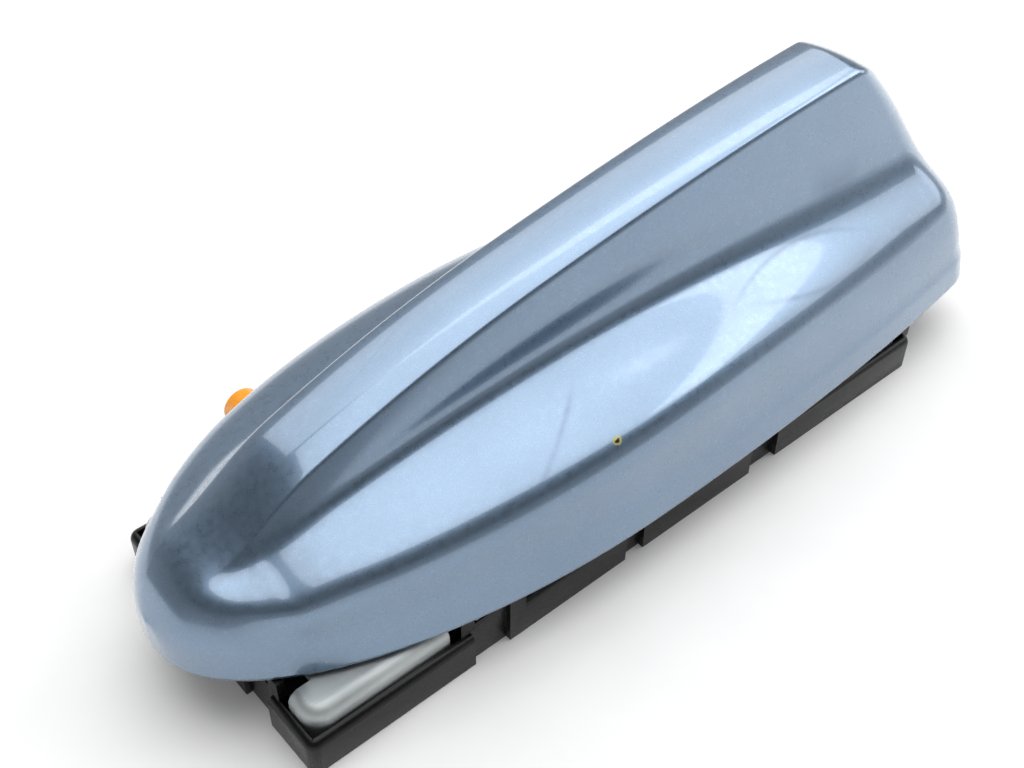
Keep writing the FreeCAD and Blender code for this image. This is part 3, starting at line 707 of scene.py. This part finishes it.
    def flank(self, x: np.ndarray, wall: float) -> tuple[np.ndarray, np.ndarray, np.ndarray]:
        """Foot half width, flank knots from crease to ridge, and crown height of the section at each place.

        Args:
            x: Lengthwise places.
            wall: Distance from the outer skin.

        Returns:
            Foot half widths, knots as places by 6 by 2, and crown heights.
        """
        drop, ridge_in, valley_in = (share * wall for share in self.wall_shares)
        crease_up, crease_out, ridge_out, valley_out = self.nose_limits
        top = self.ridge_height(x) - drop
        foot = self.half_width(x, wall)
        crease_z = np.minimum(self.low + self.skirt_height, self.low + crease_up * (top - self.low))
        crease = np.maximum(foot - self.skirt_lean, crease_out * foot)
        ridge = self.ridge_half + self.ridge_flare * (x - self.stations[3][0]) - ridge_in
        ridge = np.minimum(ridge, ridge_out * foot)
        rise = top - crease_z
        valley_z = crease_z + rise * (self.valley_rise - self.valley_sag * rise)
        to_tail = self.ramp(x, self.stations[4][0], self.tail)
        valley = self.valley_half + to_tail * (self.valley_tail - self.valley_half) - valley_in
        valley = np.minimum(valley, ridge + valley_out * (crease - ridge))
        up = self.shoulder_up + to_tail * (self.shoulder_tail - self.shoulder_up)
        lift = valley_z - crease_z
        draw = to_tail * self.shoulder_in * (crease - valley)
        hollow_in, hollow_down = (share * self.wall_hollow for share in self.hollow_way)
        knots = np.stack([np.stack(pair, -1) for pair in (
            (crease, crease_z),
            (crease - self.fender_in * (crease - valley) - draw / 2, crease_z + self.fender_up * up * lift),
            (valley + self.shoulder_out * (crease - valley) - draw, crease_z + up * lift),
            (valley, valley_z),
            ((valley + ridge) / 2 - hollow_in, (valley_z + top) / 2 - hollow_down),
            (ridge, top))], 1)
        share = self.ramp(x, *self.dome)
        crown = top + self.crown * (1 + share)
        turns = np.array(self.dome_turns)
        dome = np.stack([foot[:, None] * np.cos(turns) ** self.dome_power,
                         self.low + (crown - self.low)[:, None] * np.sin(turns) ** self.dome_power], -1)
        return foot, knots + share[:, None, None] * (dome - knots), crown

    def profile(self, x: np.ndarray, wall: float) -> np.ndarray:
        """Half section at each place: skirt line, flank spline and crown arc, with its creases rounded.

        The outer flank stands in a little over the skirt: it steps in within a millimetre or two and comes back
        out with height, both as exponentials of the length run along it.

        Args:
            x: Lengthwise places.
            wall: Distance from the outer skin.

        Returns:
            Places by columns by (half width, height).
        """
        foot, knots, crown = self.flank(x, wall)
        n_skirt, n_flank, n_crown = self.counts
        up = np.linspace(0.0, 1.0, n_skirt, endpoint=False)[None, :, None]
        start = np.stack([foot, np.full_like(foot, self.low)], -1)[:, None]
        skirt = start + (knots[:, :1] - start) * up
        side = np.einsum("mk,nkc->nmc", spline_weights(knots.shape[1], n_flank), knots)
        if wall == 0.0:
            run = np.linalg.norm(np.diff(side, axis=1, prepend=side[:, :1]), axis=-1).cumsum(1)
            ledge = self.ledge * (1 - np.exp(-run / self.ledge_run)) * np.exp(-run / self.ledge_fade)
            ledge *= (1 - self.ramp(x, *self.dome))[:, None]
            side[..., 0] -= np.minimum(ledge, self.ledge_limit * side[..., 0])
        across = np.linspace(1.0, 0.0, n_crown)[1:]
        ridge, top = knots[:, -1, :1], knots[:, -1, 1:]
        cap = np.stack([ridge * across, top + (crown[:, None] - top) * (1 - across ** 2)], -1)
        return self.softened(np.concatenate([skirt, side, cap], 1), (n_skirt, n_skirt + n_flank - 1))

    def height_share(self, z: np.ndarray) -> np.ndarray:
        """Height over the rim as a share of the tail's height.

        Args:
            z: Heights.

        Returns:
            Shares, from nought to the limit.
        """
        return np.clip((z - self.low) / (self.top - self.low), 0.0, self.height_limit)

    def turned(self, x: np.ndarray, shape: np.ndarray, turn: np.ndarray, lean: np.ndarray) -> np.ndarray:
        """Turn the last rows in to round the tail's edges.

        A point's half width shrinks by the row's turn, or in proportion over the ridge, and its height falls by the
        turn in proportion to its height in the row. Its lengthwise place then follows the leaning tail face at the
        new height.

        Args:
            x: Lengthwise places, rows by columns.
            shape: Sections, rows by columns by (across, height).
            turn: How far each row turns in.
            lean: How far each row leans back at its foot.

        Returns:
            Array of rows by columns by 3.
        """
        crest = self.counts[0] + self.counts[1] - 2
        across, z = shape[..., 0], shape[..., 1]
        turn = turn[:, None]
        core = np.maximum(np.abs(across[:, crest]), self.turn_least)[:, None]
        rise = np.clip((z - self.low) / (z.max(1, keepdims=True) - self.low), 0.0, 1.0)
        fallen = z - self.turn_down * turn * rise
        drawn = across * (1 - turn / np.maximum(np.maximum(np.abs(across), core), turn))
        x = x + lean[:, None] * (self.height_share(z) ** 2 - self.height_share(fallen) ** 2)
        return np.stack([x, drawn, fallen], -1)

    def grid(self, wall: float) -> np.ndarray:
        """Points of the skin, moved in by a wall: rows along the length, columns round the section.

        Rows lean back over the rear part until the last one lies in the curved tail face, and each point takes
        the section at its own place. The last rows turn in by a quarter circle to round the tail's edges.

        Args:
            wall: Distance from the outer skin.

        Returns:
            Array of rows by columns by 3.
        """
        ease = 0.5 - 0.5 * np.cos(np.linspace(0.0, np.pi, self.length_rows))
        s = (self.nose + wall) + ease * (self.tail - self.nose - 2 * wall)
        back = np.clip((s - self.rake_from) / (self.tail - wall - self.rake_from), 0.0, None)
        lean = self.rake * back ** self.rake_power
        pick = np.arange(sum(self.counts) - 1)
        x = np.repeat(s[:, None], len(pick), 1)
        table_x = np.linspace(self.nose + wall, self.tail + self.rake, self.table_rows)
        table = self.profile(table_x, wall)
        last_cell = self.table_rows - 1.001
        for _ in range(self.lean_passes):
            place = np.clip((x - table_x[0]) / (table_x[1] - table_x[0]), 0, last_cell)
            cell = place.astype(int)
            part = (place - cell)[..., None]
            shape = table[cell, pick] * (1 - part) + table[cell + 1, pick] * part
            x = s[:, None] + lean[:, None] * (1 - self.height_share(shape[..., 1]) ** 2)
        soft = self.tail_round - wall
        depth = self.tail - wall - s
        arc = np.sqrt(np.clip(soft ** 2 - (soft - depth) ** 2, 0.0, None))
        turn = np.where(depth < soft, soft - arc, 0.0)
        both_x = np.concatenate([x, x[:, -2::-1]], 1)
        both = np.concatenate([shape * [-1, 1], shape[:, -2::-1]], 1)
        return self.turned(both_x, both, turn, lean)

    def softened(self, section: np.ndarray, creases: Sequence[int]) -> np.ndarray:
        """Round the two creases: a short binomial average of the points about each.

        Args:
            section: Rows by columns by 2.
            creases: Column of each crease.

        Returns:
            The rounded sections.
        """
        for column in creases:
            first, end = column - self.soften_reach, column + self.soften_reach + 1
            for _ in range(self.soften_passes):
                section[:, first:end] = (section[:, first - 1:end - 1] + 2 * section[:, first:end]
                                         + section[:, first + 1:end + 1]) / 4
        return section

    def legs(self) -> bpy.types.Object:
        """Make the five latch legs under the rim: an upright and a barb each, as boxes between two corners.

        Returns:
            The legs, one piece.
        """
        wide, thick, reach = self.leg_width / 2, self.leg_thick, self.leg_barb
        low, slit, barb = self.leg_low, self.barb_low, self.barb_high
        corners = []
        for x, side in self.leg_places:
            inner = self.leg_face_y - thick
            near, far = sorted((side * inner, side * (inner + thick)))
            corners.append(((x - wide, near, low), (x + wide, far, self.low + self.leg_root)))
            near, far = sorted((side * inner, side * (inner + thick + reach)))
            corners.append(((x - wide, near, slit), (x + wide, far, barb)))
        for y in (-self.nose_leg_y, self.nose_leg_y):
            x = self.leg_face_x
            corners.append(((x, y - wide, low), (x + thick, y + wide, self.low + self.leg_root)))
            corners.append(((x - reach, y - wide, slit), (x + thick, y + wide, barb)))
        box = np.array([[i & 1, i >> 1 & 1, i >> 2] for i in range(8)])
        sides = np.array([[0, 2, 3, 1], [4, 5, 7, 6], [0, 1, 5, 4], [2, 6, 7, 3], [0, 4, 6, 2], [1, 3, 7, 5]])
        ends = np.array(corners)
        points = ends[:, 0, None] + box * (ends[:, 1] - ends[:, 0])[:, None]
        faces = sides + 8 * np.arange(len(ends))[:, None, None]
        thing = mesh_object("fin_cover_legs", points.reshape(-1, 3), faces.reshape(-1, 4))
        thing.data.polygons.foreach_set("use_smooth", np.zeros(len(thing.data.polygons), bool))
        self.objects.append(thing)
        LOG.info("cover legs: %d faces", len(thing.data.polygons))
        return thing

    def build(self) -> bpy.types.Object:
        """Close outer skin, inner skin, rim and tail faces into one piece.

        Returns:
            The cover.
        """
        outer, inner = self.grid(0.0), self.grid(self.wall)
        rows, cols = outer.shape[:2]
        index = np.arange(rows * cols).reshape(rows, cols)
        deep = index + rows * cols

        def quads(grid: np.ndarray, flip: bool) -> np.ndarray:
            """Faces between neighbours of an index grid.

            Args:
                grid: Index grid.
                flip: Whether to turn the faces over.

            Returns:
                Index rows.
            """
            ring = np.stack([grid[:-1, :-1], grid[1:, :-1], grid[1:, 1:], grid[:-1, 1:]], -1).reshape(-1, 4)
            return ring[:, ::-1] if flip else ring

        half_cols = cols // 2
        tail = np.stack([index[-1, :half_cols + 1], index[-1, ::-1][:half_cols + 1]])
        tail_in = np.stack([deep[-1, :half_cols + 1], deep[-1, ::-1][:half_cols + 1]])
        rims = [np.stack([index[:, 0], deep[:, 0]]), np.stack([deep[:, -1], index[:, -1]]),
                np.stack([index[-1, [0, -1]], deep[-1, [0, -1]]])]
        faces = np.concatenate([quads(index, False), quads(deep, True), quads(tail, False), quads(tail_in, True)]
                               + [quads(r, False) for r in rims])
        points = np.concatenate([outer.reshape(-1, 3), inner.reshape(-1, 3)])
        thing = mesh_object("fin_cover_skin", points, faces)
        thing.data.validate()
        self.objects.append(thing)
        LOG.info("cover skin: %d faces", len(thing.data.polygons))
        return thing


@dataclass
class EdgedNodes:
    """Copies of the sharp-edged carrier pieces with their edges broken, as moulding and stamping leave them.

    Attributes:
        edges: Node, width of its broken edges in millimetres, and slot name.
        merge_m: Distance within which the copy's points are merged, in metres.
        flat_deg: Angle up to which neighbouring triangles are one flat face.
        sharp_deg: Angle from which an edge is broken.
        segments: Steps across a broken edge.
        objects: Copies made so far, by node.
    """

    edges: tuple = (("base_frame", 0.3, "frame_plastic"), ("ground_plate", 0.18, "plate_steel"),
                    ("jack_amber", 0.35, "amber_plastic"))
    merge_m: float = 1e-6
    flat_deg: float = 2.0
    sharp_deg: float = 35.0
    segments: int = 2
    objects: dict = field(default_factory=dict)

    def build(self) -> None:
        """Merge a copy of each solid's triangles into flat faces and round the edges between them."""
        for node, width, slot in self.edges:
            mesh = frame["nodes"][node].data.copy()
            work = bmesh.new()
            work.from_mesh(mesh)
            bmesh.ops.remove_doubles(work, verts=work.verts, dist=self.merge_m)
            bmesh.ops.dissolve_limit(work, angle_limit=math.radians(self.flat_deg), verts=work.verts,
                                     edges=work.edges)
            work.to_mesh(mesh)
            work.free()
            mesh.polygons.foreach_set("use_smooth", np.ones(len(mesh.polygons), bool))
            thing = bpy.data.objects.new(f"{node}_edged", mesh)
            bpy.context.collection.objects.link(thing)
            edge = thing.modifiers.new("broken_edges", "BEVEL")
            edge.width = width * MM
            edge.segments = self.segments
            edge.limit_method = "ANGLE"
            edge.angle_limit = math.radians(self.sharp_deg)
            edge.harden_normals = True
            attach(thing, "root")
            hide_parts(node)
            self.objects[node] = thing
            LOG.info("%s: %d faces before its edges are broken", thing.name, len(mesh.polygons))


FINISHES = {
    "cover": Finish("metallic_blue_paint", Role.PAINT, "#7189a2", "#6d859e", 0.3, 0.9, 1.0, 1.4, 0.0003),
    "cover_seal": Finish("seal_rubber", Role.RUBBER, "#1b1c1c", "#202222", 0.75,
                         grain_mm=0.3, grain_depth=0.02, worn="#2c2e2e"),
    "base_frame": Finish("black_grained_plastic", Role.MOULDED, "#080909", "#060707", 0.3,
                         grain_mm=0.35, grain_depth=0.004, worn="#151616", specular=0.28),
    "ground_plate": Finish("satin_drawn_steel", Role.SHEET, "#c3c8c9", "#b3b9ba", 0.55, 0.85,
                           grain_mm=0.2, grain_depth=0.003),
    "bottom_lid": Finish("satin_lid_steel", Role.SHEET, "#b4b9ba", "#a3a8aa", 0.42, 1.0,
                         grain_mm=0.2, grain_depth=0.003),
    "main_board": Finish("board_green_resist", Role.BOARD, "#1f5a36", "#1a4f2f", 0.4,
                         grain_mm=0.5, grain_depth=0.01, worn="#2f7a4a"),
    "board_screws": Finish("zinc_screw_steel", Role.SHEET, "#b9bbb8", "#a2a4a0", 0.3, 1.0,
                           grain_mm=0.2, grain_depth=0.003),
    "brass": Finish("turned_brass", Role.SHEET, "#d9b56a", "#c39a4c", 0.25, 1.0,
                    grain_mm=0.15, grain_depth=0.002),
    "jack_amber": Finish("amber_moulded_plastic", Role.MOULDED, "#ffa516", "#ff990c", 0.28,
                         grain_mm=0.5, grain_depth=0.004, worn="#ffab2e"),
    "jack_blue": Finish("blue_moulded_plastic", Role.MOULDED, "#22408c", "#1d397f", 0.35,
                        grain_mm=0.5, grain_depth=0.004, worn="#35529c"),
    "jack_red": Finish("dark_red_moulded_plastic", Role.MOULDED, "#7c1a26", "#701620", 0.35,
                       grain_mm=0.5, grain_depth=0.004, worn="#8e2c37"),
    "white": Finish("white_insulator_plastic", Role.MOULDED, "#ece9df", "#e4e0d5", 0.5,
                    grain_mm=0.4, grain_depth=0.004, worn="#d9d4c6"),
    "tin": Finish("tin_plate", Role.SHEET, "#cfd2cf", "#bcc0bd", 0.28, 1.0,
                  grain_mm=0.2, grain_depth=0.003),
    "patch_ceramic": Finish("sintered_ceramic", Role.CERAMIC, "#b79f7c", "#ab936f", 0.55,
                            grain_mm=0.3, grain_depth=0.01, worn="#8a7454"),
    "silver": Finish("fired_silver", Role.SHEET, "#dcdcd6", "#c9c9c2", 0.3, 1.0,
                     grain_mm=0.2, grain_depth=0.003),
    "carrier": Finish("black_carrier_plastic", Role.MOULDED, "#3a3c3c", "#333535", 0.5,
                      grain_mm=0.4, grain_depth=0.008, worn="#4a4d4d"),
}
TABLE = Finish("pale_table", Role.MOULDED, "#f2f2f2", "#efefef", 0.8, grain_mm=1.0, grain_depth=0.0)

NODE_FINISH = {
    "cover_seal": "cover_seal", "base_frame": "base_frame", "ground_plate": "ground_plate", "bottom_lid": "bottom_lid",
    "main_board": "main_board", "board_screws": "board_screws", "fixing_bushes": "brass", "jack_amber": "jack_amber",
    "jack_blue": "jack_blue", "jack_red": "jack_red", "jack_sleeves": "brass", "jack_insulators": "white",
    "jack_pins": "brass", "patch_can": "tin", "patch_ceramic": "patch_ceramic", "patch_electrode": "silver",
    "patch_pin": "brass", "radiator_carrier": "carrier", "phone_radiator": "brass", "radiator_pin": "brass",
    "shield_can": "tin", "amplifier_chips": "carrier", "fin_cover": "cover",
}


@dataclass
class Antenna:
    """The whole part: the cover's skin and the finishes of every solid.

    Attributes:
        cover: Fin cover.
        edged: Carrier pieces with broken edges.
        marks: Stone chips in the paint.
        scuffs: Rubs on the fender, then hair scratches on the ridge.
    """

    cover: FinCover = field(default_factory=FinCover)
    edged: EdgedNodes = field(default_factory=EdgedNodes)
    marks: tuple = (Mark((-11.5, -28.8, 32.2), 0.85),)
    scuffs: tuple = (Scuff((-60.0, 40.0), 75.0, 0.8, (-20.0, -23.0), 14.0),
                     Scuff((47.0, -62.0), 46.5, 0.7, (47.0, -16.0), 24.0),
                     Scuff((50.0, 30.0), 55.0, 0.8, (48.0, -25.0), 22.0),
                     Scuff((67.0, 40.0), 52.4, 1.4, (64.0, -12.4), 8.0),
                     Scuff((-40.0, 300.0), 303.0, 0.15, (-50.0, -2.0), 14.0),
                     Scuff((-90.0, 200.0), 205.0, 0.12, (-38.0, 1.5), 12.0),
                     Scuff((30.0, -240.0), 243.0, 0.12, (5.0, 1.8), 16.0))

    def build(self) -> None:
        """Skin the cover and let it stand for its solid."""
        for piece in (self.cover.build(), self.cover.legs()):
            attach(piece, "root")
            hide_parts("fin_cover")
        self.edged.build()

    def dress(self) -> None:
        """Give every piece its material."""
        made = {key: Shader(f).build(self.marks, self.scuffs) for key, f in FINISHES.items()}
        for node, key in NODE_FINISH.items():
            thing = frame["nodes"][node]
            thing.data.materials.clear()
            thing.data.materials.append(made[key])
        for skin in self.cover.objects:
            skin.data.materials.append(made["cover"])
        for node, thing in self.edged.objects.items():
            thing.data.materials.clear()
            thing.data.materials.append(made[NODE_FINISH[node]])
        LOG.info("dressed %d nodes", len(NODE_FINISH))


@dataclass(frozen=True)
class Lamp:
    """A soft oblong light. Lengths in millimetres.

    Attributes:
        name: Light name.
        at: Place.
        to: Point it faces.
        size: Width and height.
        power: Watts.
    """

    name: str
    at: tuple[float, float, float]
    to: tuple[float, float, float]
    size: tuple[float, float]
    power: float


@dataclass
class Studio:
    """Floor, lights and camera. Lengths in millimetres.

    Attributes:
        eye: Place of the camera.
        azimuth: Its azimuth in degrees.
        elevation: Its elevation in degrees.
        focal_px: Focal length in pixels of the photo's frame.
        frame_px: Width of that frame in pixels.
        clip_start: Nearest distance that the camera sees.
        floor_half: Half side of the floor.
        floor_drop: How far the floor lies below the part.
        floor_glow: Glow of the floor under the part.
        far_glow: Glow of the floor far away, where the lamps don't reach.
        glow_reach: Distances at which the glow starts to grow and is full.
        lamps: Soft lights.
        levels: Sine of the height in the room, and brightness there.
    """

    eye: tuple = (-125.92, -134.79, 184.62)
    azimuth: float = -40.65
    elevation: float = 42.0
    focal_px: float = 1287.0
    frame_px: float = 1024.0
    clip_start: float = 10.0
    floor_half: float = 4000.0
    floor_drop: float = 0.2
    floor_glow: float = 0.08
    far_glow: float = 0.65
    glow_reach: tuple = (200.0, 1100.0)
    lamps: tuple = (Lamp("overhead_softbox", (190, -60, 880), (20, -20, 20), (760, 1400), 6.2),
                    Lamp("rear_softbox", (260, 660, 860), (0, 0, 30), (1500, 850), 6.8),
                    Lamp("tail_strip", (880, -280, 600), (50, -20, 30), (560, 760), 2.4))
    levels: tuple = ((0.0, 0.95), (0.1, 0.45), (0.3, 0.38), (0.55, 0.16), (0.78, 0.18), (0.95, 0.5))

    def build(self) -> None:
        """Set the stage: floor, softboxes above, behind and off the tail, camera and room."""
        self.floor()
        for lamp in self.lamps:
            self.light(lamp)
        self.camera()
        self.room()
        bpy.context.scene.view_settings.view_transform = "Standard"

    def room(self) -> None:
        """Colour the world by height: pale at the horizon, grey over it, dim in the middle, soft ceiling."""
        world = bpy.data.worlds.new("studio_room")
        bpy.context.scene.world = world
        world.use_nodes = True
        tree = world.node_tree
        tree.nodes.clear()
        way = tree.nodes.new("ShaderNodeTexCoord")
        parts = tree.nodes.new("ShaderNodeSeparateXYZ")
        ramp = tree.nodes.new("ShaderNodeValToRGB")
        ramp.color_ramp.interpolation = "EASE"
        while len(ramp.color_ramp.elements) < len(self.levels):
            ramp.color_ramp.elements.new(0.5)
        for stop, (place, level) in zip(ramp.color_ramp.elements, self.levels):
            stop.position = place
            stop.color = (level, level, level, 1.0)
        room = tree.nodes.new("ShaderNodeBackground")
        out = tree.nodes.new("ShaderNodeOutputWorld")
        for start, end in ((way.outputs["Generated"], parts.inputs[0]), (parts.outputs["Z"], ramp.inputs[0]),
                           (ramp.outputs[0], room.inputs[0]), (room.outputs[0], out.inputs[0])):
            tree.links.new(start, end)

    def floor(self) -> None:
        """Lay a pale floor, which camera and glossy surfaces see as white near and far, apart from the shadow."""
        half = self.floor_half
        points = np.array([[-half, -half, 0], [half, -half, 0], [half, half, 0], [-half, half, 0]])
        thing = mesh_object("floor", points, [[0, 1, 2, 3]])
        thing.location.z = -self.floor_drop * MM
        shader = Shader(TABLE)
        material = shader.build()
        path = shader.add("ShaderNodeLightPath")
        shader.bsdf.inputs["Emission Color"].default_value = (1.0, 1.0, 1.0, 1.0)
        seen = shader.math("MAXIMUM", path.outputs["Is Camera Ray"], path.outputs["Is Glossy Ray"])
        seen = shader.math("MAXIMUM", seen, path.outputs["Is Transmission Ray"])
        away = shader.add("ShaderNodeVectorMath", {0: shader.place}, operation="LENGTH").outputs["Value"]
        glow = shader.remap(away, *(reach * MM for reach in self.glow_reach), self.floor_glow, self.far_glow)
        shader.tree.links.new(shader.math("MULTIPLY", seen, glow), shader.bsdf.inputs["Emission Strength"])
        thing.data.materials.append(material)

    @staticmethod
    def light(lamp: Lamp) -> None:
        """Hang a soft light.

        Args:
            lamp: Light to hang.
        """
        data = bpy.data.lights.new(lamp.name, "AREA")
        data.shape = "RECTANGLE"
        data.size, data.size_y = lamp.size[0] * MM, lamp.size[1] * MM
        data.energy = lamp.power
        thing = bpy.data.objects.new(lamp.name, data)
        thing.location = Vector(lamp.at) * MM
        thing.rotation_euler = (Vector(lamp.to) - Vector(lamp.at)).to_track_quat("-Z", "Y").to_euler()
        bpy.context.collection.objects.link(thing)

    def camera(self) -> None:
        """Stand the camera where the photo was taken from."""
        data = bpy.data.cameras.new("camera")
        data.sensor_width = SENSOR_MM
        data.lens = self.focal_px / self.frame_px * SENSOR_MM
        data.clip_start = self.clip_start * MM
        thing = bpy.data.objects.new("camera", data)
        a, e = math.radians(self.azimuth), math.radians(self.elevation)
        back = Vector((math.sin(a) * math.cos(e), -math.cos(a) * math.cos(e), math.sin(e)))
        thing.location = Vector(self.eye) * MM
        thing.rotation_euler = (-back).to_track_quat("-Z", "Y").to_euler()
        bpy.context.collection.objects.link(thing)
        bpy.context.scene.camera = thing


def main() -> None:
    """Build, dress and light the part."""
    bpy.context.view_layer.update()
    part = Antenna()
    part.build()
    part.dress()
    Studio().build()


if __name__ == "__main__":
    main()
